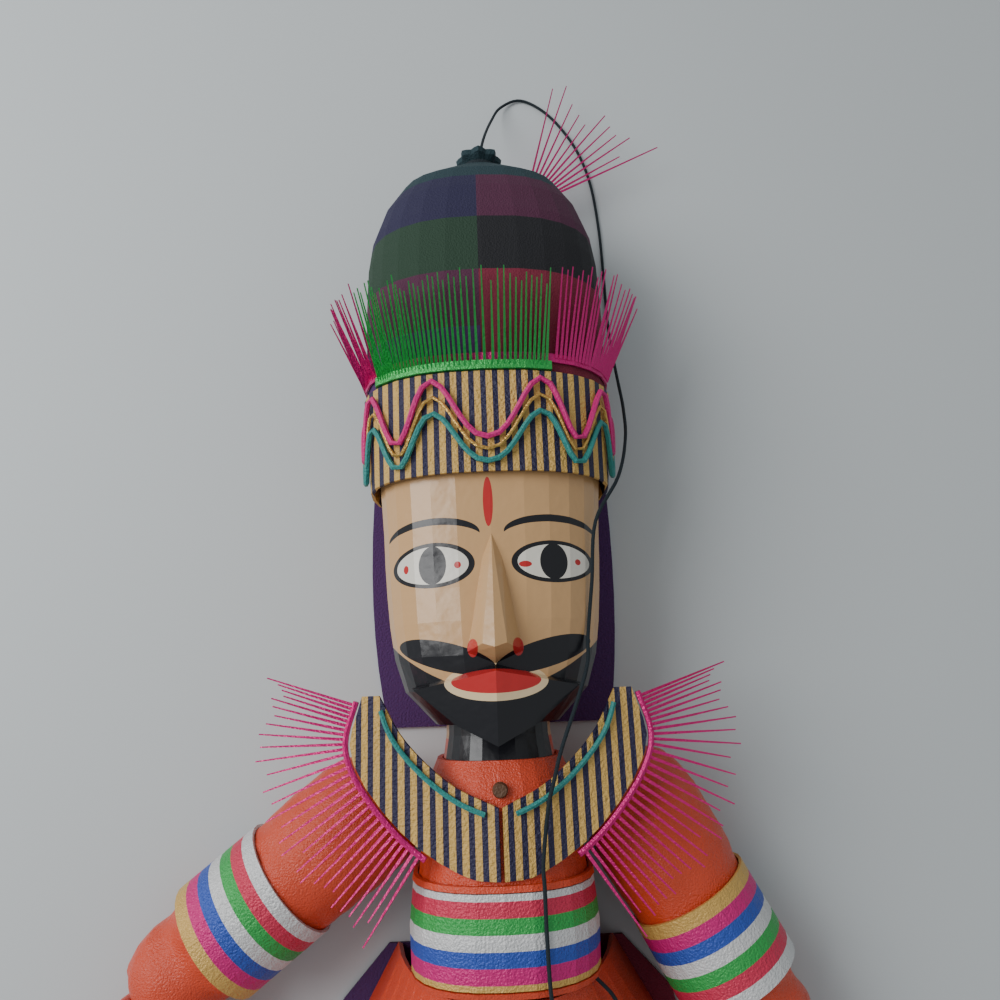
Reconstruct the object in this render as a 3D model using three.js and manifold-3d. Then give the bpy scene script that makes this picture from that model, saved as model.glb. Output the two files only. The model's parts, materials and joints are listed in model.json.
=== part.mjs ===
// A carved wooden string puppet of the Rajasthani kathputli kind, lying on its back.
// Millimetres. +Y runs from the hem to the crown, +Z out of the face, and z = 0 is the
// surface under the puppet. The origin is the flat of the robe's back, between the arms.
import * as THREE from "three";
import { mergeVertices } from "three/addons/utils/BufferGeometryUtils.js";
import Module from "manifold-3d";

const wasm = await Module();
wasm.setup();
const { Manifold, Mesh: SolidMesh } = wasm;

// Fits and thicknesses
const gap = 0.3; // between pieces that touch
const cloth = 1.3;
const robeCloth = 1.6; // two layers of satin
const braid = 0.9; // the lace's woven ground
const ribbonWall = 0.8;
const squareness = 2.4; // of the body's cross-sections, 2 being an ellipse

// The carved head: height along the body, half width, back and front of each section
const crownY = 200;
const domeY = 150; // where the turban starts to round over
const headBackZ = 3.2;
const headSections = [
  { y: 28, half: 17, back: 9, front: 46 },
  { y: 37, half: 25.5, back: 5, front: 50.5 },
  { y: 50, half: 28.8, back: headBackZ, front: 52.5 },
  { y: 66, half: 30.5, back: headBackZ, front: 52 },
  { y: 82, half: 31.2, back: headBackZ, front: 53 },
  { y: 100, half: 32.6, back: headBackZ, front: 53.5 },
  { y: 122, half: 34, back: headBackZ, front: 55 },
  { y: domeY, half: 34.6, back: headBackZ, front: 54.5 },
  { y: 172, half: 33, back: 4.5, front: 52 },
  { y: 188, half: 26, back: 10, front: 46 },
  { y: 196, half: 17, back: 17, front: 40 },
  { y: crownY, half: 8, back: 22, front: 34 },
];
const crownZ = 28;

// The carved neck, chest and hip stub
const bustSections = [
  { y: -50, half: 10, back: 14, front: 32 },
  { y: -40, half: 14, back: 8, front: 37 },
  { y: -33, half: 21, back: 4.5, front: 45.5 },
  { y: -14, half: 21.3, back: 4.5, front: 46 },
  { y: -4, half: 19.8, back: 1.5, front: 45 },
  { y: 9, half: 19.2, back: 1.5, front: 45 },
  { y: 18, half: 15.5, back: 5, front: 42 },
  { y: 26, half: 14.5, back: 8, front: 40 },
  { y: 40, half: 14.5, back: 9, front: 40 },
];

// The face
const noseTip = { y: 46.5, z: 61.5 };
const noseRootY = 76;
const noseHalf = 8.2;
const chinY = 23;
const beardKeelZ = 57;
const beardHalf = 23;

// Cloth cap, lace and fringe on the turban
const capEdgeY = 97;
const laceFromY = 92;
const laceToY = 119.5;
const laceBackZ = 14; // the lace stops here at each side
const fringeLength = 30;
const tapeWidth = 2.4;
const strandRadius = 0.55;

// Robe, collar and waist ribbon
const robeFromY = -31;
const robeToY = 19;
const beltFromY = -33;
const beltToY = -9;
const pipingWidth = 1.4;
const collarRiseZ = 48.3; // underside of the collar at the middle
const collarSlope = 0.2; // how fast it falls towards the shoulders
const collarFringe = 25;
const beadRadius = 2;

// Arms: angles are degrees out from the body's line
const shoulderX = 39;
const shoulderY = 3;
const armZ = 17.4;
const armRadius = 17.1;
const bandRadius = 16; // of the sleeve where the armband is tied
const wristSpan = 13.4; // radius of the fold above the elbow
const elbowRadius = 14.2;
const handRadius = 10.5;
const upperLength = 60;
const foreLength = 75;
const foreStart = 9; // from the elbow's centre to the forearm's cupped end
const bandFrom = 24.3;
const ribbonWidth = 24.7;
const arms = [
  { name: "left", side: -1, upper: 53, fore: 18 },
  { name: "right", side: 1, upper: 28, fore: 12 },
];

// Skirt: half width and height of the front panel down to the hem
const skirtTopY = -34;
const hemY = -371;
const skirtSections = [
  { y: hemY, half: 100, front: 10 },
  { y: -260, half: 86, front: 12 },
  { y: -180, half: 70, front: 15 },
  { y: -130, half: 58, front: 20 },
  { y: -90, half: 50, front: 30 },
  { y: -60, half: 46, front: 41 },
  { y: -46, half: 42, front: 45.5 },
  { y: skirtTopY, half: 30, front: 47 },
];
const foldDepth = 5;
const foldCount = 5;
const backLap = 4; // how far the back panel shows beyond the front one
const hemRibbonFrom = 12;

// String, from the crown round the head to the waist
const stringRadius = 0.5;
const stringRoute = [
  [0, 208.6, 28], [2, 222, 22], [5, 240, 9], [9, 252, 2], [17, 256, 0.7], [27, 249, 0.7],
  [36, 235, 0.7], [41, 219, 0.7], [43, 200, 0.7], [43.5, 180, 0.7], [43.5, 162, 1.4],
  [43.5, 147, 6], [43, 133, 15], [42, 119, 26], [40, 106, 36], [36, 93, 42.5],
  [28.5, 80, 44.4], [26.5, 64, 44], [24.5, 50, 44.5], [23.5, 42, 47], [20, 33, 50.3],
  [15.5, 22, 50.8], [13.4, 15, 50], [11.5, 8, 49.3], [9.8, -4, 48.7], [9.8, -9.5, 49], [9.8, -20, 49],
  [10.2, -33, 49], [12, -42, 47.3], [15, -49, 45.4], [20, -53, 42], [26, -51, 38.2],
  [28.5, -45, 35.6], [26.5, -38.5, 34.6], [22.1, -33.4, 35.8],
];

const weld = 1e-4;
const bodySides = 28;
const up = new THREE.Vector3(0, 1, 0);
const turnOf = Math.PI * 2;
const radians = THREE.MathUtils.degToRad;

// Builds a closed solid from points and triangles, turned to face out.
function closed(points, index) {
  let volume = 0;
  for (let i = 0; i < index.length; i += 3) {
    const [a, b, c] = [points[index[i]], points[index[i + 1]], points[index[i + 2]]];
    volume += a.dot(new THREE.Vector3().crossVectors(b, c));
  }
  const order = volume < 0 ? index.slice().reverse() : index;
  return new Manifold(new SolidMesh({
    numProp: 3,
    vertProperties: new Float32Array(points.flatMap((point) => point.toArray())),
    triVerts: new Uint32Array(order),
  }));
}

// Joins rings of points into one solid with flat ends.
function skin(rings) {
  const count = rings[0].length;
  const index = [];
  for (let r = 0; r < rings.length - 1; r++) {
    for (let i = 0; i < count; i++) {
      const a = r * count + i;
      const b = r * count + ((i + 1) % count);
      index.push(a, b, b + count, a, b + count, a + count);
    }
  }
  const points = rings.flat();
  const middle = (ring) => ring.reduce((sum, p) => sum.add(p), new THREE.Vector3()).divideScalar(count);
  const first = points.length;
  const last = first + 1;
  const lastRing = (rings.length - 1) * count;
  for (let i = 0; i < count; i++) {
    const next = (i + 1) % count;
    index.push(first, next, i);
    index.push(last, lastRing + i, lastRing + next);
  }
  return closed([...points, middle(rings[0]), middle(rings[rings.length - 1])], index);
}

// One size of a body at a height, on a smooth curve through its sections.
function sizeAt(sections, y, key) {
  const last = sections.length - 1;
  let k = 0;
  while (k < last - 1 && y > sections[k + 1].y) k++;
  const from = sections[k];
  const to = sections[k + 1];
  const before = sections[Math.max(k - 1, 0)];
  const after = sections[Math.min(k + 2, last)];
  const span = to.y - from.y;
  const t = THREE.MathUtils.clamp((y - from.y) / span, 0, 1);
  const slopeFrom = ((to[key] - before[key]) / (to.y - before.y)) * span;
  const slopeTo = ((after[key] - from[key]) / (after.y - from.y)) * span;
  const rise = t * t * (3 - 2 * t);
  const pull = t * (1 - t) * (1 - t) * slopeFrom - t * t * (1 - t) * slopeTo;
  return from[key] + (to[key] - from[key]) * rise + pull;
}

// A point on a body, grown outwards, at an angle from +X towards the front.
function around(sections, y, angle, grow) {
  const half = sizeAt(sections, y, "half") + grow;
  const back = sizeAt(sections, y, "back") - grow;
  const front = sizeAt(sections, y, "front") + grow;
  const bend = (value) => Math.sign(value) * Math.abs(value) ** (2 / squareness);
  const lift = grow * THREE.MathUtils.smoothstep(y, domeY, crownY);
  const z = (back + front) / 2 + ((front - back) / 2) * bend(Math.sin(angle));
  return new THREE.Vector3(half * bend(Math.cos(angle)), y + lift, z);
}

// A body between two heights, grown outwards.
function loft(sections, from, to, grow, steps) {
  const rings = [];
  for (let s = 0; s <= steps; s++) {
    const y = from + ((to - from) * s) / steps;
    const ring = [];
    for (let i = 0; i < bodySides; i++) {
      ring.push(around(sections, y, (turnOf * i) / bodySides, grow));
    }
    rings.push(ring);
  }
  return skin(rings);
}

// A cloth tube round a body, open at both ends.
function shell(sections, from, to, inner, outer, steps) {
  const beyond = 2;
  const wall = loft(sections, from, to, outer, steps);
  return wall.subtract(loft(sections, from - beyond, to + beyond, inner, steps + 2));
}

// A sheet of even thickness on a surface, which runs over 0 to 1 both ways.
function sheet(surface, columns, rows, lift, thickness) {
  const step = 1e-3;
  const raised = (u, v, height) => {
    const point = surface(u, v);
    const acrossU = surface(u + step, v).sub(surface(u - step, v));
    const alongV = surface(u, v + step).sub(surface(u, v - step));
    const normal = acrossU.cross(alongV).normalize();
    return point.addScaledVector(normal, normal.z < 0 ? -height : height);
  };
  const points = [];
  for (const height of [lift, lift + thickness]) {
    for (let r = 0; r <= rows; r++) {
      for (let c = 0; c <= columns; c++) points.push(raised(c / columns, r / rows, height));
    }
  }
  const layer = (columns + 1) * (rows + 1);
  const at = (c, r, top) => top * layer + r * (columns + 1) + c;
  const index = [];
  const quad = (a, b, c, d) => index.push(a, b, c, a, c, d);
  for (let r = 0; r < rows; r++) {
    for (let c = 0; c < columns; c++) {
      quad(at(c, r, 0), at(c, r + 1, 0), at(c + 1, r + 1, 0), at(c + 1, r, 0));
      quad(at(c, r, 1), at(c + 1, r, 1), at(c + 1, r + 1, 1), at(c, r + 1, 1));
    }
    quad(at(0, r, 0), at(0, r, 1), at(0, r + 1, 1), at(0, r + 1, 0));
    quad(at(columns, r, 0), at(columns, r + 1, 0), at(columns, r + 1, 1), at(columns, r, 1));
  }
  for (let c = 0; c < columns; c++) {
    quad(at(c, 0, 0), at(c + 1, 0, 0), at(c + 1, 0, 1), at(c, 0, 1));
    quad(at(c, rows, 0), at(c, rows, 1), at(c + 1, rows, 1), at(c + 1, rows, 0));
  }
  return closed(points, index);
}

// A round cord along a smooth curve.
function cordAlong(curve, radius, steps, sides) {
  const outline = new THREE.Shape();
  outline.absarc(0, 0, radius, 0, turnOf);
  const geometry = new THREE.ExtrudeGeometry(outline, {
    steps,
    curveSegments: sides / 2, // an arc takes two sides for each
    extrudePath: curve,
  });
  geometry.deleteAttribute("normal");
  geometry.deleteAttribute("uv");
  const welded = mergeVertices(geometry, weld);
  const positions = welded.getAttribute("position");
  const points = [];
  for (let i = 0; i < positions.count; i++) {
    points.push(new THREE.Vector3().fromBufferAttribute(positions, i));
  }
  return closed(points, Array.from(welded.index.array));
}

// One tapered strand of tinsel with three sides.
function strand(root, tip) {
  const along = new THREE.Vector3().subVectors(tip, root).normalize();
  const turn = new THREE.Quaternion().setFromUnitVectors(up, along);
  const tipShare = 0.4;
  const ring = (centre, radius) => [0, 1, 2].map((i) => {
    const angle = (turnOf * i) / 3;
    const spoke = new THREE.Vector3(radius * Math.cos(angle), 0, radius * Math.sin(angle));
    return spoke.applyQuaternion(turn).add(centre);
  });
  return skin([ring(root, strandRadius), ring(tip, strandRadius * tipShare)]);
}

// An uneven but repeatable share between 0 and 1.
function uneven(i) {
  const spread = 12.9898;
  const scale = 43758.5453;
  const value = Math.sin((i + 1) * spread) * scale;
  return value - Math.floor(value);
}

// The carved block: head, nose, beard, neck, chest and hip stub in one.
function carvedBlock() {
  const head = loft(headSections, headSections[0].y, crownY, 0, 20);
  const bust = loft(bustSections, bustSections[0].y, bustSections[8].y, 0, 12);
  const browZ = sizeAt(headSections, noseRootY, "front");
  const nose = Manifold.hull([
    [0, noseRootY, browZ], [-2.5, noseRootY - 5, browZ - 1], [2.5, noseRootY - 5, browZ - 1],
    [0, noseTip.y, noseTip.z], [-noseHalf, noseTip.y - 1, browZ - 3],
    [noseHalf, noseTip.y - 1, browZ - 3], [-3, noseTip.y + 1, noseTip.z - 1.5],
    [3, noseTip.y + 1, noseTip.z - 1.5], [0, noseTip.y - 4, browZ - 2],
  ]);
  const beard = Manifold.hull([
    [0, 41, beardKeelZ], [0, chinY, 52.5], [0, chinY + 5, 38],
    [-beardHalf, 38, 36], [beardHalf, 38, 36], [-beardHalf + 2, 37, 49], [beardHalf - 2, 37, 49],
    [-10, 28, 50], [10, 28, 50], [0, 44, 48],
  ]);
  return Manifold.union([head, bust, nose, beard]);
}

// The plaid cloth cap with its gathered knot.
function capSolid() {
  const outer = loft(headSections, capEdgeY, crownY, gap + cloth, 11);
  const inner = loft(headSections, capEdgeY - 7, crownY, gap, 12);
  const knot = [
    { y: crownY + 0.9, radius: 6.4 }, { y: crownY + 2.4, radius: 4.2 },
    { y: crownY + 4.9, radius: 4.2 }, { y: crownY + 6.4, radius: 6.6 },
    { y: crownY + 8, radius: 6.9 },
  ].map((section) => {
    const pucker = section.radius > 5 ? 0.7 : 0;
    const sides = 32;
    return Array.from({ length: sides }, (_, i) => {
      const angle = (turnOf * i) / sides;
      const radius = section.radius + pucker * Math.cos(8 * angle);
      return new THREE.Vector3(radius * Math.cos(angle), section.y, crownZ + radius * Math.sin(angle));
    });
  });
  return outer.subtract(inner).add(skin(knot));
}

// The thread tied round the gathered knot.
function tieSolid() {
  const thickness = 1.2;
  const inside = 4.6;
  const wall = Manifold.cylinder(thickness, inside + thickness, inside + thickness, 28);
  const bore = Manifold.cylinder(3 * thickness, inside, inside, 28).translate([0, 0, -thickness]);
  return wall.subtract(bore).rotate([90, 0, 0]).translate([0, crownY + 4.25, crownZ]);
}

const capOuter = gap + cloth;
const laceInner = capOuter + gap;
const laceOuter = laceInner + braid;

// A waved cord on the lace.
function waveSolid(middle, swing, radius) {
  const fromAngle = radians(-6);
  const toAngle = radians(186);
  const turns = 5;
  const points = [];
  const count = 60;
  for (let i = 0; i <= count; i++) {
    const share = i / count;
    const angle = fromAngle + (toAngle - fromAngle) * share;
    const y = middle + swing * Math.cos(turnOf * turns * share);
    points.push(around(headSections, y, angle, laceOuter + gap + radius));
  }
  return cordAlong(new THREE.CatmullRomCurve3(points), radius, 64, 6);
}

// Strands that stand on a tape round the turban.
function turbanFringe(spans, tapeY, low, high, rootHeight) {
  const tape = shell(headSections, tapeY, tapeY + tapeWidth, low, high, 1);
  const parts = [];
  for (const span of spans) {
    for (let i = 0; i < span.count; i++) {
      const angle = radians(span.from + ((span.to - span.from) * i) / (span.count - 1));
      const side = Math.cos(angle);
      const tipAngle = angle - 0.09 * side;
      const length = fringeLength * (0.8 + 0.2 * uneven(i));
      const root = around(headSections, tapeY + tapeWidth / 2, angle, rootHeight);
      const flare = rootHeight + 2 + 9 * Math.abs(side) ** 3;
      parts.push(strand(root, around(headSections, tapeY + length, tipAngle, flare)));
    }
  }
  return { tape, parts };
}

// Height of the collar's underside.
const collarZ = (x) => collarRiseZ - collarSlope * Math.abs(x);
const collarEdge = (points) => new THREE.CatmullRomCurve3(
  points.map(([x, y]) => new THREE.Vector3(x, y, 0)),
);
const outerEdge = collarEdge([[0.4, -8], [8, -7.2], [24.7, 3], [38, 22], [35, 36]]);
const innerEdge = collarEdge([[0.4, 8.5], [12, 14], [24, 25], [30.5, 36]]);

// One half of the lace collar, lying on the chest and out over the shoulder.
function collarSolid(side) {
  const steps = 14;
  const surface = (u, v) => {
    const inside = innerEdge.getPoint(THREE.MathUtils.clamp(v, 0, 1));
    const outside = outerEdge.getPoint(THREE.MathUtils.clamp(v, 0, 1));
    const point = inside.lerp(outside, u);
    return new THREE.Vector3(point.x * side, point.y, collarZ(point.x));
  };
  return sheet(surface, 4, steps, 0, braid);
}

// The cord sewn along the collar's inner edge.
function collarCordSolid(side) {
  const radius = 0.7;
  const points = [];
  for (let i = 1; i <= 9; i++) {
    const point = innerEdge.getPoint(i / 10).lerp(outerEdge.getPoint(i / 10), 0.16);
    const z = collarZ(point.x) + braid + gap + radius;
    points.push(new THREE.Vector3(point.x * side, point.y, z));
  }
  return cordAlong(new THREE.CatmullRomCurve3(points), radius, 30, 6);
}

// The fringe along the collar's outer edge, on its own heading cord.
function collarFringeSolid(side) {
  const headingRadius = 0.8;
  const outwards = (t) => {
    const tangent = outerEdge.getTangent(t);
    return new THREE.Vector3(tangent.y, -tangent.x, 0);
  };
  const heading = (t) => {
    const point = outerEdge.getPoint(t).addScaledVector(outwards(t), headingRadius + 2 * gap);
    return new THREE.Vector3(point.x * side, point.y, collarZ(point.x) + braid / 2);
  };
  const points = Array.from({ length: 14 }, (_, i) => heading(0.4 + (0.57 * i) / 13));
  const parts = [cordAlong(new THREE.CatmullRomCurve3(points), headingRadius, 26, 6)];
  const count = 30;
  for (let i = 0; i < count; i++) {
    const t = 0.42 + (0.53 * i) / (count - 1);
    const root = heading(t);
    const way = outwards(t);
    const length = collarFringe * (0.75 + 0.25 * uneven(i));
    const tip = root.clone().add(new THREE.Vector3(way.x * side, way.y, 0).multiplyScalar(length));
    tip.z -= 1.5 * uneven(i);
    parts.push(strand(root, tip));
  }
  return Manifold.union(parts);
}

// The tinsel tuft behind the crown.
function plumeSolid() {
  const base = Manifold.sphere(4.2, 16).translate([15, 199, 14]);
  const parts = [base];
  const locks = 11;
  for (let i = 0; i < locks; i++) {
    const angle = radians(28 + (48 * i) / (locks - 1));
    const length = 42 + 16 * uneven(i);
    const root = new THREE.Vector3(15, 199, 14);
    const reach = new THREE.Vector3(Math.cos(angle) * length, Math.sin(angle) * length, -4);
    const tip = root.clone().add(reach);
    parts.push(strand(root, tip));
  }
  const keepOut = loft(headSections, domeY, crownY, capOuter + gap, 14);
  return Manifold.union(parts).subtract(keepOut);
}

// The head cloth lying under the turban and neck.
function veilSolid() {
  const outline = new THREE.Shape();
  outline.moveTo(-34, 26);
  outline.quadraticCurveTo(-42, 60, -38, 110);
  outline.quadraticCurveTo(-40, 160, -24, 180);
  outline.quadraticCurveTo(0, 192, 24, 180);
  outline.quadraticCurveTo(40, 160, 38, 110);
  outline.quadraticCurveTo(41, 60, 35, 26);
  outline.closePath();
  const polygon = outline.getPoints(8).map((point) => [point.x, point.y]);
  return Manifold.extrude([polygon.slice(0, -1).reverse()], cloth);
}

// The front panel's surface, folded more deeply towards the hem.
function skirtSurface(u, v) {
  const y = skirtTopY + (hemY - skirtTopY) * v;
  const across = 2 * u - 1;
  const half = sizeAt(skirtSections, y, "half");
  const base = cloth + gap;
  const arch = sizeAt(skirtSections, y, "front") - base;
  const low = Math.max(1 - Math.abs(across) ** 2.6, 0) ** 0.8;
  const fold = foldDepth * Math.min(Math.max(v, 0), 1) * low * Math.sin(Math.PI * foldCount * across);
  return new THREE.Vector3(half * across, y, base + arch * low + Math.max(fold, -arch * low * 0.7));
}

// The back panel, flat on the surface and a little wider.
function backPanelSolid() {
  const surface = (u, v) => {
    const y = skirtTopY + (hemY - skirtTopY) * v;
    const half = sizeAt(skirtSections, y, "half") + backLap;
    return new THREE.Vector3(half * (2 * u - 1), y, 0);
  };
  return sheet(surface, 2, 24, 0, cloth);
}

// Places a piece, built down -Y from a joint, on its arm.
function onArm(solid, arm, angle, joint) {
  return solid.rotate([0, 0, arm.side * angle]).translate([joint.x, joint.y, armZ]);
}

const shoulderOf = (arm) => ({ x: arm.side * shoulderX, y: shoulderY });
const elbowOf = (arm) => ({
  x: arm.side * (shoulderX + upperLength * Math.sin(radians(arm.upper))),
  y: shoulderY - upperLength * Math.cos(radians(arm.upper)),
});

// A stuffed tube turned from its radii along the arm.
function turned(outline) {
  const first = outline[0];
  const last = outline[outline.length - 1];
  const polygon = [[0, first[1]], ...outline, [0, last[1]]];
  return Manifold.revolve([polygon], 28).rotate([90, 0, 0]);
}

function upperSleeve(arm) {
  const tube = turned([
    [armRadius, 0], [armRadius, 14], [bandRadius, bandFrom - 1],
    [bandRadius, bandFrom + ribbonWidth + 0.4], [wristSpan, bandFrom + ribbonWidth + 4],
    [wristSpan, upperLength],
  ]);
  const shoulder = Manifold.sphere(armRadius, 20);
  const elbow = Manifold.sphere(elbowRadius, 20).translate([0, -upperLength, 0]);
  return onArm(Manifold.union([tube, shoulder, elbow]), arm, arm.upper, shoulderOf(arm));
}

function armband(arm) {
  const inner = bandRadius + gap;
  const wall = Manifold.cylinder(ribbonWidth, inner + ribbonWall, inner + ribbonWall, 32);
  const bore = Manifold.cylinder(ribbonWidth + 4, inner, inner, 32).translate([0, 0, -2]);
  const band = wall.subtract(bore).rotate([90, 0, 0]).translate([0, -bandFrom, 0]);
  return onArm(band, arm, arm.upper, shoulderOf(arm));
}

function foreSleeve(arm) {
  const handFrom = foreLength - handRadius;
  const tube = turned([
    [elbowRadius - 1.5, foreStart], [elbowRadius, foreStart + 4], [13.6, 30],
    [12, 50], [handRadius, handFrom],
  ]);
  const hand = Manifold.sphere(handRadius, 20).translate([0, -handFrom, 0]);
  const cup = Manifold.sphere(elbowRadius + 2 * gap, 24);
  return onArm(tube.add(hand).subtract(cup), arm, arm.fore, elbowOf(arm));
}

const finishes = {
  wood: [0xb98a56, 0.35, 0], plaid: [0x4a1533, 0.8, 0], violet: [0x2f1440, 0.85, 0],
  satin: [0xd2401f, 0.45, 0], lace: [0x2b2a33, 0.7, 0], gold: [0xc9a14a, 0.35, 0.6],
  magenta: [0xc0126b, 0.5, 0], teal: [0x1d7f78, 0.5, 0], green: [0x2fa044, 0.3, 0.4],
  ribbon: [0xb9b3c4, 0.4, 0.3], thread: [0x15202b, 0.9, 0], bead: [0x5b3a24, 0.6, 0],
};

const puppet = new THREE.Group();

// Adds one named piece.
function place(name, solid, finish) {
  const made = solid.getMesh();
  const geometry = new THREE.BufferGeometry();
  geometry.setAttribute("position", new THREE.BufferAttribute(new Float32Array(made.vertProperties), 3));
  geometry.setIndex(new THREE.BufferAttribute(new Uint32Array(made.triVerts), 1));
  geometry.computeVertexNormals();
  const [color, roughness, metalness] = finishes[finish];
  const mesh = new THREE.Mesh(geometry, new THREE.MeshStandardMaterial({ color, roughness, metalness }));
  mesh.name = name;
  puppet.add(mesh);
}

function placeHead() {
  place("head_and_bust", carvedBlock(), "wood");
  place("turban_cap", capSolid(), "plaid");
  place("turban_tie", tieSolid(), "thread");
  const ground = shell(headSections, laceFromY, laceToY, laceInner, laceOuter, 3);
  place("turban_lace", ground.trimByPlane([0, 0, 1], laceBackZ), "lace");
  place("lace_magenta_cord", waveSolid(109, 8, 0.8), "magenta");
  place("lace_gold_cord", waveSolid(105.2, 7.4, 0.5), "gold");
  place("lace_teal_cord", waveSolid(101.2, 6.8, 0.8), "teal");
  const greenLow = laceInner;
  const green = turbanFringe([{ from: 68, to: 140, count: 40 }], laceToY + gap, greenLow, 3.6, 3.2);
  const greenTape = green.tape.trimByPlane([0, 0, 1], 36)
    .trimByPlane([1, 0, 0], -31).trimByPlane([-1, 0, 0], -18);
  place("turban_fringe_green", Manifold.union([greenTape, ...green.parts]), "green");
  const sides = [{ from: 12, to: 62, count: 22 }, { from: 146, to: 176, count: 14 }];
  const magentaTapeY = laceToY + gap + tapeWidth + gap;
  const magenta = turbanFringe(sides, magentaTapeY, laceInner, laceInner + 0.5, laceInner + 0.3);
  const magentaTape = magenta.tape.trimByPlane([0, 0, 1], laceBackZ);
  place("turban_fringe_magenta", Manifold.union([magentaTape, ...magenta.parts]), "magenta");
  place("crown_plume", plumeSolid(), "magenta");
  place("head_cloth", veilSolid(), "violet");
}

function placeRobe() {
  const robeOuter = gap + robeCloth;
  const beltInner = robeOuter + gap;
  const beltOuter = beltInner + ribbonWall;
  const robe = shell(bustSections, robeFromY, robeToY, gap, robeOuter, 6);
  place("robe_bodice", robe.trimByPlane([0, 0, 1], 0).subtract(carvedBlock()), "satin");
  const belt = shell(bustSections, beltFromY + pipingWidth + gap, beltToY - pipingWidth - gap,
    beltInner, beltOuter, 2);
  place("waist_ribbon", belt, "ribbon");
  place("waist_piping_lower", shell(bustSections, beltFromY, beltFromY + pipingWidth,
    beltInner, beltOuter + 0.3, 1), "satin");
  place("waist_piping_upper", shell(bustSections, beltToY - pipingWidth, beltToY,
    beltInner, beltOuter + 0.3, 1), "satin");
  for (const arm of arms) {
    place(`collar_lace_${arm.name}`, collarSolid(arm.side), "lace");
    place(`collar_cord_${arm.name}`, collarCordSolid(arm.side), "teal");
    place(`collar_fringe_${arm.name}`, collarFringeSolid(arm.side), "magenta");
  }
  const beadY = 12.4;
  const beadZ = sizeAt(bustSections, beadY - beadRadius, "front") + robeOuter + gap;
  const bead = Manifold.cylinder(1.3, beadRadius, beadRadius - 0.4, 20);
  place("collar_bead", bead.translate([0, beadY, beadZ]), "bead");
}

function placeSkirt() {
  const front = sheet(skirtSurface, 28, 12, 0, cloth);
  place("skirt_front", front, "satin");
  place("skirt_back", backPanelSolid(), "plaid");
  const ribbonSurface = (u, v) => {
    const length = skirtTopY - hemY;
    const from = 1 - (hemRibbonFrom + ribbonWidth) / length;
    return skirtSurface(u, from + (v * ribbonWidth) / length);
  };
  const ribbon = sheet(ribbonSurface, 28, 2, cloth + 2 * gap, ribbonWall);
  place("hem_ribbon", ribbon.subtract(front).trimByPlane([0, 0, 1], 4), "ribbon");
}

function placeArms() {
  for (const arm of arms) {
    place(`${arm.name}_upper_sleeve`, upperSleeve(arm), "satin");
    place(`${arm.name}_armband`, armband(arm), "ribbon");
    place(`${arm.name}_fore_sleeve`, foreSleeve(arm), "satin");
  }
}

function placeString() {
  const points = stringRoute.map(([x, y, z]) => new THREE.Vector3(x, y, z));
  const curve = new THREE.CatmullRomCurve3(points, false, "centripetal");
  place("control_string", cordAlong(curve, stringRadius, 80, 8), "thread");
}

placeHead();
placeRobe();
placeSkirt();
placeArms();
placeString();

export default puppet;
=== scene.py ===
"""Looks of the kathputli string puppet: painted wood, satin, lace, tinsel and thread.

The CAD solids come from the frame and sizes here are in millimetres of its coordinates,
turned to metres by MM. x runs to the picture's right, y to the crown and z to the viewer.
"""

import json
import logging
import math
from dataclasses import dataclass
from enum import Enum

import bpy
from mathutils import Matrix, Vector

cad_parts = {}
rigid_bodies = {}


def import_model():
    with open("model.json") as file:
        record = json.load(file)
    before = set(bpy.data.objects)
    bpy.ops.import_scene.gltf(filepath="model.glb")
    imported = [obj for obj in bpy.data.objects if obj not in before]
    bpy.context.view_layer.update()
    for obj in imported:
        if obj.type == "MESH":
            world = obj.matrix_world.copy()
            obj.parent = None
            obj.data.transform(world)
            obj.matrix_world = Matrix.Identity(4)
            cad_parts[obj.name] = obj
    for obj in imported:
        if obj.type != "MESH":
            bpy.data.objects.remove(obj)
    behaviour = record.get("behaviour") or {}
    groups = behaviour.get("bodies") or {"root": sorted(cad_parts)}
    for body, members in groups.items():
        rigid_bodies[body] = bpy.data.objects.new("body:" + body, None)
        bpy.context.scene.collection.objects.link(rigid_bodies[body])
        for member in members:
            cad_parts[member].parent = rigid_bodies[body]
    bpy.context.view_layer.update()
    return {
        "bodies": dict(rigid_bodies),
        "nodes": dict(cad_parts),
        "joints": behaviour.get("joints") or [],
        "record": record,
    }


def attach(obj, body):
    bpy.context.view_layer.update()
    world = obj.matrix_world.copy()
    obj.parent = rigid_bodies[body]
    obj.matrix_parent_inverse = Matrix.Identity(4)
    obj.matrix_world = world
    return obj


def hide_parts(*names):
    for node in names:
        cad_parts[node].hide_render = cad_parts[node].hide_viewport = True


LOG = logging.getLogger("puppet")
MM = 0.001

Point = tuple[float, float, float]
Socket = bpy.types.NodeSocket


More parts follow.
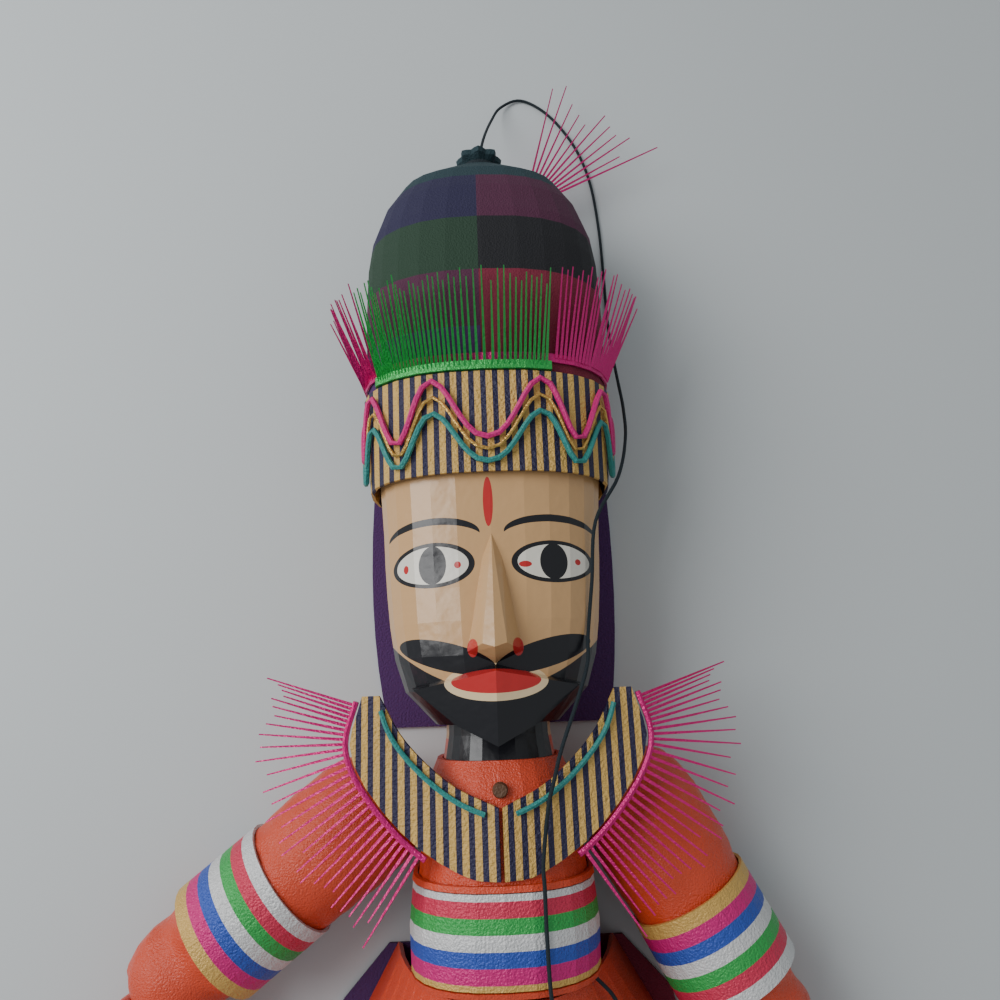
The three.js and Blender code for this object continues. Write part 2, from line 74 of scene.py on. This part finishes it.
class Tone(Enum):
    """Named paints and dyes, as linear colours."""

    SKIN = (0.56, 0.33, 0.15)
    CREAM = (0.72, 0.55, 0.33)
    BLACK = (0.006, 0.006, 0.009)
    WHITE = (0.72, 0.68, 0.60)
    RED = (0.48, 0.02, 0.02)
    SATIN = (0.62, 0.06, 0.02)
    VIOLET = (0.06, 0.015, 0.10)
    CRIMSON = (0.17, 0.008, 0.03)
    PLUM = (0.07, 0.01, 0.04)
    NAVY = (0.015, 0.012, 0.05)
    TEAL_DARK = (0.01, 0.035, 0.045)
    GREEN_DARK = (0.012, 0.04, 0.02)
    SILVER = (0.62, 0.62, 0.62)
    MAGENTA = (0.60, 0.01, 0.18)
    PINK_RED = (0.60, 0.03, 0.08)
    GREEN = (0.03, 0.36, 0.07)
    BLUE = (0.03, 0.08, 0.42)
    TEAL = (0.02, 0.22, 0.20)
    GOLD = (0.62, 0.38, 0.10)
    THREAD = (0.006, 0.014, 0.02)
    BEAD = (0.10, 0.045, 0.02)
    FLOOR = (0.52, 0.55, 0.56)
    SKY = (0.80, 0.84, 0.86)

    @property
    def opaque(self) -> tuple[float, float, float, float]:
        """The colour with full cover."""
        return (*self.value, 1.0)


class Side(Enum):
    """The picture's left and right, as the sign of x."""

    LEFT = -1
    RIGHT = 1

    @property
    def word(self) -> str:
        """The side as it stands in the nodes' names."""
        return self.name.lower()


@dataclass(frozen=True)
class Mark:
    """One painted oval on the face, in millimetres and degrees."""

    x: float
    y: float
    half_width: float
    half_height: float
    tone: Tone
    turn: float = 0.0


class Shader:
    """A node material, built up step by step."""

    def __init__(
        self, name: str, tone: Tone, roughness: float, metallic: float = 0.0
    ) -> None:
        """Starts a material of one colour.

        Args:
            name: The material's name.
            tone: Its colour, until another is joined to it.
            roughness: How matt it is.
            metallic: How metallic it is.
        """
        self.material = bpy.data.materials.new(name)
        self.material.use_nodes = True
        self.nodes = self.material.node_tree.nodes
        self.links = self.material.node_tree.links
        self.surface = self.nodes["Principled BSDF"]
        self.surface.inputs["Base Color"].default_value = tone.opaque
        self.surface.inputs["Roughness"].default_value = roughness
        self.surface.inputs["Metallic"].default_value = metallic
        self.place = self.nodes.new("ShaderNodeTexCoord").outputs["Object"]
        split = self.nodes.new("ShaderNodeSeparateXYZ")
        self.links.new(self.place, split.inputs[0])
        self.x, self.y, self.z = split.outputs

    def maths(self, kind: str, first: Socket | float, second: Socket | float = 0.0) -> Socket:
        """Adds one arithmetic node.

        Args:
            kind: Blender's name of the operation.
            first: A socket or number.
            second: A socket or number.

        Returns:
            The node's output.
        """
        node = self.nodes.new("ShaderNodeMath")
        node.operation = kind
        for socket, value in zip(node.inputs, (first, second)):
            if isinstance(value, (int, float)):
                socket.default_value = value
            else:
                self.links.new(value, socket)
        return node.outputs[0]

    def squared(self, value: Socket) -> Socket:
        """The square of a socket that may be negative."""
        return self.maths("POWER", self.maths("ABSOLUTE", value), 2)

    def both(self, share: Socket, below: Socket | Tone, above: Socket | Tone) -> Socket:
        """Mixes two colours.

        Args:
            share: How much of the second is seen, from 0 to 1.
            below: The colour under the other.
            above: The colour over it.

        Returns:
            The mixed colour.
        """
        node = self.nodes.new("ShaderNodeMix")
        node.data_type = "RGBA"
        colours = [socket for socket in node.inputs if socket.type == "RGBA"]
        result = next(socket for socket in node.outputs if socket.type == "RGBA")
        self.links.new(share, node.inputs[0])
        for socket, value in zip(colours, (below, above)):
            if isinstance(value, Tone):
                socket.default_value = value.opaque
            else:
                self.links.new(value, socket)
        return result

    def bands(
        self, along: Socket, start: float, end: float, tones: tuple[Tone, ...]
    ) -> Socket:
        """Stripes of even width.

        Args:
            along: The distance across the stripes, in metres.
            start: Where the first begins, in millimetres.
            end: Where the last ends, in millimetres.
            tones: The stripes in order.

        Returns:
            The stripes' colour.
        """
        shifted = self.maths("SUBTRACT", along, start * MM)
        share = self.maths("DIVIDE", shifted, (end - start) * MM)
        ramp = self.nodes.new("ShaderNodeValToRGB")
        ramp.color_ramp.interpolation = "CONSTANT"
        stops = ramp.color_ramp.elements
        stops.remove(stops[1])
        stops[0].color = tones[0].opaque
        for i, tone in enumerate(tones[1:], start=1):
            stops.new(i / len(tones)).color = tone.opaque
        self.links.new(share, ramp.inputs[0])
        return ramp.outputs[0]

    def oval(self, mark: Mark) -> Socket:
        """The inside of a painted mark.

        Args:
            mark: The oval.

        Returns:
            1 inside it and 0 outside.
        """
        turn = math.radians(mark.turn)
        across = self.maths("SUBTRACT", self.x, mark.x * MM)
        along = self.maths("SUBTRACT", self.y, mark.y * MM)
        width = self.maths(
            "ADD",
            self.maths("MULTIPLY", across, math.cos(turn)),
            self.maths("MULTIPLY", along, math.sin(turn)),
        )
        height = self.maths(
            "SUBTRACT",
            self.maths("MULTIPLY", along, math.cos(turn)),
            self.maths("MULTIPLY", across, math.sin(turn)),
        )
        far = self.maths(
            "ADD",
            self.squared(self.maths("DIVIDE", width, mark.half_width * MM)),
            self.squared(self.maths("DIVIDE", height, mark.half_height * MM)),
        )
        return self.maths("LESS_THAN", far, 1.0)

    def relief(self, size: float, strength: float) -> None:
        """Adds a fine uneven surface.

        Args:
            size: The width of its bumps, in millimetres.
            strength: How strongly they show, from 0 to 1.
        """
        noise = self.nodes.new("ShaderNodeTexNoise")
        noise.inputs["Scale"].default_value = 1 / (size * MM)
        self.links.new(self.place, noise.inputs["Vector"])
        bump = self.nodes.new("ShaderNodeBump")
        bump.inputs["Strength"].default_value = strength
        bump.inputs["Distance"].default_value = MM
        self.links.new(noise.outputs[0], bump.inputs["Height"])
        self.links.new(bump.outputs[0], self.surface.inputs["Normal"])

    def coloured(self, colour: Socket) -> bpy.types.Material:
        """Joins a colour to the surface and returns the material."""
        self.links.new(colour, self.surface.inputs["Base Color"])
        return self.material


@dataclass(frozen=True)
class Finish:
    """A procedural material, known by its name."""

    name: str

    def make(self) -> bpy.types.Material:
        """Makes the material.

        Returns:
            The material, for as many meshes as share it.
        """
        raise NotImplementedError


@dataclass(frozen=True)
class Plain(Finish):
    """A single dyed cloth, cord, thread or tinsel."""

    tone: Tone
    roughness: float
    metallic: float = 0.0
    thread: float = 0.6
    strength: float = 0.5

    def make(self) -> bpy.types.Material:
        """Makes the material.

        Returns:
            The material, for as many meshes as share it.
        """
        cloth = Shader(self.name, self.tone, self.roughness, self.metallic)
        cloth.relief(self.thread, self.strength)
        return cloth.material


@dataclass(frozen=True)
class Ribbon(Finish):
    """A woven ribbon with stripes along its length.

    across is the direction across the stripes in the picture's plane, and start is where
    the first stripe begins along it.
    """

    across: tuple[float, float]
    start: float
    tones: tuple[Tone, ...]
    width: float = 24.7
    roughness: float = 0.42
    metallic: float = 0.2
    thread: float = 0.6
    strength: float = 0.6

    def make(self) -> bpy.types.Material:
        """Makes the material.

        Returns:
            The material, for as many meshes as share it.
        """
        woven = Shader(self.name, Tone.SILVER, self.roughness, self.metallic)
        place = woven.maths(
            "ADD",
            woven.maths("MULTIPLY", woven.x, self.across[0]),
            woven.maths("MULTIPLY", woven.y, self.across[1]),
        )
        woven.relief(self.thread, self.strength)
        return woven.coloured(
            woven.bands(place, self.start, self.start + self.width, self.tones)
        )


@dataclass(frozen=True)
class Lace(Finish):
    """Gold loops side by side on a dark ground."""

    loop_pitch: float = 3.2
    loop_from: float = -0.1
    roughness: float = 0.55
    thread: float = 0.8
    strength: float = 0.9

    def make(self) -> bpy.types.Material:
        """Makes the material.

        Returns:
            The material, for as many meshes as share it.
        """
        lace = Shader(self.name, Tone.NAVY, self.roughness)
        turns = lace.maths("MULTIPLY", lace.x, 2 * math.pi / (self.loop_pitch * MM))
        loops = lace.maths("GREATER_THAN", lace.maths("SINE", turns), self.loop_from)
        lace.relief(self.thread, self.strength)
        return lace.coloured(lace.both(loops, Tone.NAVY, Tone.GOLD))


@dataclass(frozen=True)
class Plaid(Finish):
    """Checked cotton, with one set of rows on each side of the middle."""

    bottom: float = 97.0
    top: float = 205.0
    split: float = -1.0
    roughness: float = 0.8
    thread: float = 0.5
    strength: float = 0.5
    left_rows: tuple[Tone, ...] = (
        Tone.VIOLET, Tone.VIOLET, Tone.PLUM, Tone.GREEN_DARK, Tone.NAVY, Tone.TEAL_DARK,
    )
    right_rows: tuple[Tone, ...] = (
        Tone.CRIMSON, Tone.CRIMSON, Tone.CRIMSON, Tone.BLACK, Tone.PLUM, Tone.TEAL_DARK,
    )

    def make(self) -> bpy.types.Material:
        """Makes the material.

        Returns:
            The material, for as many meshes as share it.
        """
        cotton = Shader(self.name, Tone.PLUM, self.roughness)
        left = cotton.bands(cotton.y, self.bottom, self.top, self.left_rows)
        right = cotton.bands(cotton.y, self.bottom, self.top, self.right_rows)
        right_half = cotton.maths("GREATER_THAN", cotton.x, self.split * MM)
        cotton.relief(self.thread, self.strength)
        return cotton.coloured(cotton.both(right_half, left, right))


LIPS_AND_MOUSTACHE = (
    Mark(0, 38.4, 13.0, 4.6, Tone.CREAM),
    Mark(-12.6, 45.0, 13.2, 3.5, Tone.BLACK, turn=-15),
    Mark(12.6, 45.0, 13.2, 3.5, Tone.BLACK, turn=15),
    Mark(0, 38.6, 11.2, 2.9, Tone.RED),
)
# A brow is a dark oval with an oval of skin over its lower part.
BROWS = (
    Mark(-15.6, 76.6, 12.6, 4.3, Tone.BLACK),
    Mark(15.9, 76.6, 12.6, 4.3, Tone.BLACK),
    Mark(-15.6, 74.9, 13.4, 4.1, Tone.SKIN),
    Mark(15.9, 74.9, 13.4, 4.1, Tone.SKIN),
)
# Each pair is an outline, a white or an iris, and the last four are the corners.
EYES = (
    Mark(-15.7, 68.5, 11.2, 5.9, Tone.BLACK),
    Mark(16.2, 68.5, 11.2, 5.5, Tone.BLACK),
    Mark(-15.9, 68.5, 9.8, 4.9, Tone.WHITE),
    Mark(16.4, 68.5, 9.8, 4.5, Tone.WHITE),
    Mark(-15.7, 68.5, 3.7, 5.0, Tone.BLACK),
    Mark(16.2, 68.5, 3.7, 4.7, Tone.BLACK),
    Mark(-9.0, 68.2, 0.9, 0.9, Tone.RED),
    Mark(-23.0, 68.2, 0.7, 1.1, Tone.RED),
    Mark(8.6, 67.8, 1.7, 0.8, Tone.RED),
    Mark(22.8, 68.6, 0.8, 0.8, Tone.RED),
)
BROW_MARK = (Mark(-0.6, 84.5, 1.3, 6.6, Tone.RED),)
NOSTRILS = (
    Mark(-5.6, 46.8, 1.4, 2.2, Tone.RED),
    Mark(5.8, 46.8, 1.4, 2.2, Tone.RED),
)


@dataclass(frozen=True)
class PaintedWood(Finish):
    """The glossy face and neck, with each mark painted over those before it."""

    neck_top: float = 24.0
    beard_edge: float = 36.5
    beard_curve: float = 15.5
    front_from: float = 32.0
    roughness: float = 0.28
    tool_marks: float = 5.0
    strength: float = 0.25
    marks: tuple[Mark, ...] = (
        *LIPS_AND_MOUSTACHE, *BROWS, *EYES, *BROW_MARK, *NOSTRILS,
    )

    def make(self) -> bpy.types.Material:
        """Makes the material.

        Returns:
            The material, for as many meshes as share it.
        """
        paint = Shader(self.name, Tone.SKIN, self.roughness)
        neck = paint.maths("LESS_THAN", paint.y, self.neck_top * MM)
        colour = paint.both(neck, Tone.SKIN, Tone.SATIN)
        rise = paint.maths("MULTIPLY", paint.squared(paint.x), self.beard_curve)
        edge = paint.maths("ADD", rise, self.beard_edge * MM)
        beard = paint.maths("LESS_THAN", paint.y, edge)
        front = paint.maths("GREATER_THAN", paint.z, self.front_from * MM)
        colour = paint.both(paint.maths("MULTIPLY", beard, front), colour, Tone.BLACK)
        for mark in self.marks:
            inside = paint.maths("MULTIPLY", paint.oval(mark), front)
            colour = paint.both(inside, colour, mark.tone)
        paint.relief(self.tool_marks, self.strength)
        return paint.coloured(colour)


PLAID = Plaid("plaid_cotton")
LACE = Lace("lace")
SATIN = Plain("orange_satin", Tone.SATIN, roughness=0.36, thread=0.5)
MAGENTA_TINSEL = Plain("magenta_tinsel", Tone.MAGENTA, roughness=0.3, metallic=0.4)
TEAL_CORD = Plain("teal_cord", Tone.TEAL, roughness=0.5)
STRIPES = (
    Tone.SILVER, Tone.PINK_RED, Tone.GREEN, Tone.SILVER, Tone.BLUE, Tone.MAGENTA, Tone.GOLD,
)


class Wardrobe:
    """The frame's nodes, and each finish made once for all that share it."""

    def __init__(self, frame: dict) -> None:
        """Starts with no material made.
        """
        self.nodes = frame["nodes"]
        self.made: dict[str, bpy.types.Material] = {}

    def material(self, finish: Finish) -> bpy.types.Material:
        """Gives a finish's material, made at its first use.

        Args:
            finish: The finish.

        Returns:
            Its material.
        """
        if finish.name not in self.made:
            self.made[finish.name] = finish.make()
        return self.made[finish.name]

    def dress(self, finish: Finish, *names: str) -> None:
        """Gives a finish to some of the frame's nodes.

        Args:
            finish: Their material.
            names: The nodes.
        """
        for name in names:
            mesh = self.nodes[name].data
            mesh.materials.clear()
            mesh.materials.append(self.material(finish))
            for face in mesh.polygons:
                face.use_smooth = True
            LOG.info("dressed %s", name)


@dataclass
class Setting:
    """Camera, lights and floor, with the lamp and floor in metres."""

    tilt: float = 14.0
    roll: float = 2.1
    lens: float = 27.0
    sensor: float = 36.0
    near: float = 0.01
    place: Point = (0.87, 37.1, 244.1)
    lamp_place: Point = (-0.55, 0.25, 0.55)
    lamp_aim: Point = (0.0, 0.05, 0.0)
    lamp_power: float = 5.5
    lamp_size: float = 0.5
    sky_strength: float = 0.55
    floor_size: float = 6.0
    floor_drop: float = 0.0002
    floor_roughness: float = 0.7

    def build(self) -> None:
        """Makes the camera, the soft light from the left and the pale floor."""
        self.camera()
        self.lamp()
        self.sky()
        self.floor()

    def camera(self) -> None:
        """Places the camera where the photograph was taken."""
        data = bpy.data.cameras.new("camera")
        data.lens = self.lens
        data.sensor_width = self.sensor
        data.clip_start = self.near
        camera = bpy.data.objects.new("camera", data)
        bpy.context.scene.collection.objects.link(camera)
        roll = Matrix.Rotation(math.radians(-self.roll), 4, "Z")
        tilt = Matrix.Rotation(math.radians(self.tilt), 4, "X")
        camera.matrix_world = Matrix.Translation(Vector(self.place) * MM) @ roll @ tilt
        bpy.context.scene.camera = camera

    def lamp(self) -> None:
        """Hangs the soft lamp at the upper left."""
        data = bpy.data.lights.new("key", "AREA")
        data.energy = self.lamp_power
        data.size = self.lamp_size
        lamp = bpy.data.objects.new("key", data)
        bpy.context.scene.collection.objects.link(lamp)
        lamp.location = self.lamp_place
        aim = Vector(self.lamp_aim) - lamp.location
        lamp.rotation_euler = aim.to_track_quat("-Z", "Y").to_euler()

    def sky(self) -> None:
        """Fills the room with pale light."""
        world = bpy.data.worlds.new("world")
        world.use_nodes = True
        background = world.node_tree.nodes["Background"]
        background.inputs["Color"].default_value = Tone.SKY.opaque
        background.inputs["Strength"].default_value = self.sky_strength
        bpy.context.scene.world = world

    def floor(self) -> None:
        """Lays the plain floor."""
        bpy.ops.mesh.primitive_plane_add(
            size=self.floor_size, location=(0, 0, -self.floor_drop)
        )
        floor = bpy.context.object
        floor.name = "floor"
        grey = Shader("floor", Tone.FLOOR, self.floor_roughness)
        floor.data.materials.append(grey.material)


@dataclass
class ControlString:
    """The limp thread from the crown, round the head to the waist."""

    diameter: float = 1.0
    steps: int = 6
    bevel_steps: int = 2
    finish: Plain = Plain("thread_string", Tone.THREAD, roughness=0.85, thread=0.3)
    route: tuple[Point, ...] = (
        (0, 208.6, 28), (2, 222, 22), (5, 240, 9), (9, 252, 2), (17, 256, 0.7),
        (27, 249, 0.7), (36, 235, 0.7), (41, 219, 0.7), (43, 200, 0.7), (43.5, 180, 0.7),
        (43.5, 162, 1.4), (43.5, 147, 6), (43, 133, 15), (42, 119, 26), (40, 106, 36),
        (36, 93, 42.5), (28.5, 80, 44.4), (26.5, 64, 44), (24.5, 50, 44.5), (23.5, 42, 47),
        (20, 33, 50.3), (15.5, 22, 50.8), (13.4, 15, 50), (11.5, 8, 49.3), (9.8, -4, 48.7),
        (9.8, -9.5, 49), (9.8, -20, 49), (10.2, -33, 49), (12, -42, 47.3), (15, -49, 45.4),
        (20, -53, 42), (26, -51, 38.2), (28.5, -45, 35.6), (26.5, -38.5, 34.6),
        (22.1, -33.4, 35.8),
    )

    def points(self) -> list[Vector]:
        """The route as one smooth curve through its points.

        Returns:
            Points in metres, from the crown to the waist.
        """
        knots = [Vector(point) * MM for point in self.route]
        last = len(knots) - 1
        line = []
        for i in range(last):
            before = knots[max(i - 1, 0)]
            after = knots[min(i + 2, last)]
            start_pull = (knots[i + 1] - before) / (2 if i else 1)
            end_pull = (after - knots[i]) / (2 if i + 2 <= last else 1)
            for k in range(self.steps):
                t = k / self.steps
                line.append(
                    knots[i] * (2 * t**3 - 3 * t**2 + 1)
                    + start_pull * (t**3 - 2 * t**2 + t)
                    + knots[i + 1] * (3 * t**2 - 2 * t**3)
                    + end_pull * (t**3 - t**2)
                )
        return line + [knots[-1]]

    def build(self) -> None:
        line = self.points()
        data = bpy.data.curves.new("control_thread", "CURVE")
        data.dimensions = "3D"
        data.bevel_depth = self.diameter / 2 * MM
        data.bevel_resolution = self.bevel_steps
        spline = data.splines.new("POLY")
        spline.points.add(len(line) - 1)
        for slot, point in zip(spline.points, line):
            slot.co = (*point, 1.0)
        thread = bpy.data.objects.new("control_thread", data)
        bpy.context.scene.collection.objects.link(thread)
        data.materials.append(self.finish.make())
        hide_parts("control_string")
        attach(thread, "trunk")


@dataclass
class Head:
    """The carved block, with the violet cloth under it."""

    wood: PaintedWood = PaintedWood("painted_wood")
    cloth: Plain = Plain("violet_cotton", Tone.VIOLET, roughness=0.85)

    def dress(self, wardrobe: Wardrobe) -> None:
        """Paints the wood and dyes the cloth."""
        wardrobe.dress(self.wood, "head_and_bust")
        wardrobe.dress(self.cloth, "head_cloth")


@dataclass
class Turban:
    """The plaid cap with its tie, lace, cords and tinsel."""

    tie: Plain = Plain("tie_thread", Tone.THREAD, roughness=0.85)
    magenta: Plain = Plain("magenta_cord", Tone.MAGENTA, roughness=0.5)
    gold: Plain = Plain("gold_cord", Tone.GOLD, roughness=0.35, metallic=0.6)
    green: Plain = Plain("green_tinsel", Tone.GREEN, roughness=0.3, metallic=0.4)

    def dress(self, wardrobe: Wardrobe) -> None:
        """Gives each piece its cloth or thread.

        Args:
            wardrobe: The nodes and finishes.
        """
        wardrobe.dress(PLAID, "turban_cap")
        wardrobe.dress(self.tie, "turban_tie")
        wardrobe.dress(LACE, "turban_lace")
        wardrobe.dress(self.magenta, "lace_magenta_cord")
        wardrobe.dress(self.gold, "lace_gold_cord")
        wardrobe.dress(TEAL_CORD, "lace_teal_cord")
        wardrobe.dress(self.green, "turban_fringe_green")
        wardrobe.dress(MAGENTA_TINSEL, "turban_fringe_magenta", "crown_plume")


@dataclass
class Collar:
    """The two halves of the lace collar, and the bead between them."""

    bead: Plain = Plain("bead", Tone.BEAD, roughness=0.6)

    def dress(self, wardrobe: Wardrobe) -> None:
        """Gives each half its lace, cord and fringe.

        Args:
            wardrobe: The nodes and finishes.
        """
        for side in Side:
            wardrobe.dress(LACE, f"collar_lace_{side.word}")
            wardrobe.dress(TEAL_CORD, f"collar_cord_{side.word}")
            wardrobe.dress(MAGENTA_TINSEL, f"collar_fringe_{side.word}")
        wardrobe.dress(self.bead, "collar_bead")


@dataclass
class Robe:
    """The satin robe with its waist ribbon, skirt panels and hem ribbon."""

    waist: Ribbon = Ribbon("waist_stripes", (0, 1), -33.5, STRIPES[::-1])
    hem: Ribbon = Ribbon("hem_stripes", (0, 1), -359, STRIPES)

    def dress(self, wardrobe: Wardrobe) -> None:
        """Gives each piece its satin, cotton or ribbon.

        Args:
            wardrobe: The nodes and finishes.
        """
        wardrobe.dress(SATIN, "robe_bodice", "skirt_front")
        wardrobe.dress(SATIN, "waist_piping_lower", "waist_piping_upper")
        wardrobe.dress(PLAID, "skirt_back")
        wardrobe.dress(self.waist, "waist_ribbon")
        wardrobe.dress(self.hem, "hem_ribbon")


@dataclass
class Arm:
    """One stuffed arm with its ribbon.

    slope is the upper arm's angle from straight down, in degrees, and ribbon_start is the
    ribbon's distance from the shoulder.
    """

    side: Side
    slope: float
    tones: tuple[Tone, ...]
    shoulder: tuple[float, float] = (39.0, 3.0)
    ribbon_start: float = 24.3
    voxel: float = 2.0
    crease_size: float = 9.0
    crease_depth: float = 1.6
    crease_level: float = 0.6
    fill: float = 0.7

    def ribbon(self) -> Ribbon:
        """Works out the armband's ribbon from the arm's line.

        Returns:
            A ribbon whose stripes go round the arm.
        """
        angle = math.radians(self.slope)
        across = (self.side.value * math.sin(angle), -math.cos(angle))
        shoulder_x = self.side.value * self.shoulder[0]
        reach = shoulder_x * across[0] + self.shoulder[1] * across[1]
        name = f"{self.side.word}_stripes"
        return Ribbon(name, across, reach + self.ribbon_start, self.tones)

    def dress(self, wardrobe: Wardrobe) -> None:
        """Gives the arm its ribbon and its stuffed sleeves.

        Args:
            wardrobe: The nodes and finishes.
        """
        side = self.side.word
        wardrobe.dress(self.ribbon(), f"{side}_armband")
        self.stuffed(wardrobe, f"{side}_upper_sleeve", f"{side}_upper_arm")
        self.stuffed(wardrobe, f"{side}_fore_sleeve", f"{side}_forearm")

    def stuffed(self, wardrobe: Wardrobe, name: str, body: str) -> None:
        """Replaces a sleeve's solid by a remeshed and creased copy.

        Args:
            wardrobe: The nodes and finishes.
            name: The sleeve's node.
            body: The body that it rides on.
        """
        piece = bpy.data.objects.new(name + "_cloth", wardrobe.nodes[name].data.copy())
        bpy.context.scene.collection.objects.link(piece)
        piece.data.materials.clear()
        piece.data.materials.append(wardrobe.material(SATIN))
        remesh = piece.modifiers.new("remesh", "REMESH")
        remesh.mode = "VOXEL"
        remesh.voxel_size = self.voxel * MM
        remesh.use_smooth_shade = True
        creases = bpy.data.textures.new(name + "_creases", "CLOUDS")
        creases.noise_scale = self.crease_size * MM
        push = piece.modifiers.new("creases", "DISPLACE")
        push.texture = creases
        push.texture_coords = "LOCAL"
        push.strength = self.crease_depth * MM
        push.mid_level = self.crease_level
        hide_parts(name)
        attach(piece, body)
        LOG.info("made %s", piece.name)


def main() -> None:
    """Builds the setting and the string, then dresses each sub-assembly."""
    logging.basicConfig(level=logging.INFO)
    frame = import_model()
    Setting().build()
    ControlString().build()
    wardrobe = Wardrobe(frame)
    arms = (
        Arm(Side.LEFT, slope=53, tones=STRIPES),
        Arm(Side.RIGHT, slope=28, tones=STRIPES[::-1]),
    )
    for part in (Head(), Turban(), Collar(), Robe(), *arms):
        part.dress(wardrobe)


if __name__ == "__main__":
    main()
